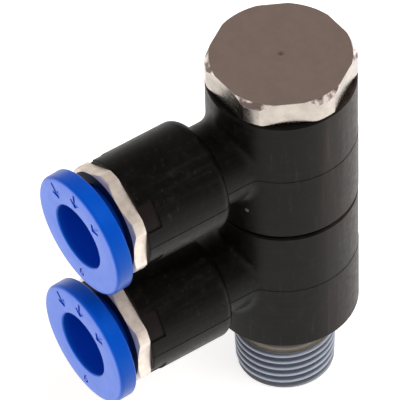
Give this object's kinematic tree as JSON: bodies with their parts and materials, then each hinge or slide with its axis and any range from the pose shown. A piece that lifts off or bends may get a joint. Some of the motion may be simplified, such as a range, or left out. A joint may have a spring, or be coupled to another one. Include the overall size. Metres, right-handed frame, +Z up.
{
  "type": "push-in manifold fitting",
  "caption": "Double banjo push-in fitting: stacked black swivel bodies with blue release rings on a hex-headed hollow stud with a taper pipe thread.",
  "frame": {"origin": "on the stud axis at the gauge plane of the taper thread, 4.1 mm above the thread's tip", "axes": "+Z up the stud towards the hexagon head, -Y out of the two tube ports, +X to the right seen from the ports"},
  "size_m": [0.0142, 0.0302, 0.0409],
  "materials": {
    "nickel": "nickel-plated turned brass, satin to bright",
    "black_body": "moulded black engineering plastic, satin",
    "blue_ring": "moulded blue acetal, smooth",
    "seal": "black nitrile rubber",
    "black_seal": "black washer plastic",
    "spring_steel": "stamped stainless spring steel",
    "white_bush": "natural acetal"
  },
  "bodies": {
    "stud_group": {"stud": "nickel", "retaining_collar": "nickel", "stack_washer": "black_seal", "head_washer": "black_seal", "upper_stud_seal_top": "seal", "upper_stud_seal_bottom": "seal", "lower_stud_seal_top": "seal", "lower_stud_seal_bottom": "seal"},
    "upper_port": {"upper_body": "black_body", "upper_guide_ring": "nickel", "upper_lock_claw": "spring_steel", "upper_claw_bush": "white_bush", "upper_tube_seal": "seal"},
    "upper_release": {"upper_release_ring": "blue_ring"},
    "lower_port": {"lower_body": "black_body", "lower_guide_ring": "nickel", "lower_lock_claw": "spring_steel", "lower_claw_bush": "white_bush", "lower_tube_seal": "seal"},
    "lower_release": {"lower_release_ring": "blue_ring"}
  },
  "joints": [
    {"name": "upper_swivel", "type": "hinge", "parent": "stud_group", "child": "upper_port", "pos_m": [0, 0, 0.02699], "axis": [0, 0, 1], "continuous": true},
    {"name": "upper_release_push", "type": "slide", "parent": "upper_port", "child": "upper_release", "axis": [0, 1, 0], "range_m": [0, 0.0009], "stiffness_N_per_m": 2000},
    {"name": "lower_swivel", "type": "hinge", "parent": "stud_group", "child": "lower_port", "pos_m": [0, 0, 0.01219], "axis": [0, 0, 1], "continuous": true},
    {"name": "lower_release_push", "type": "slide", "parent": "lower_port", "child": "lower_release", "axis": [0, 1, 0], "range_m": [0, 0.0009], "stiffness_N_per_m": 2000}
  ]
}
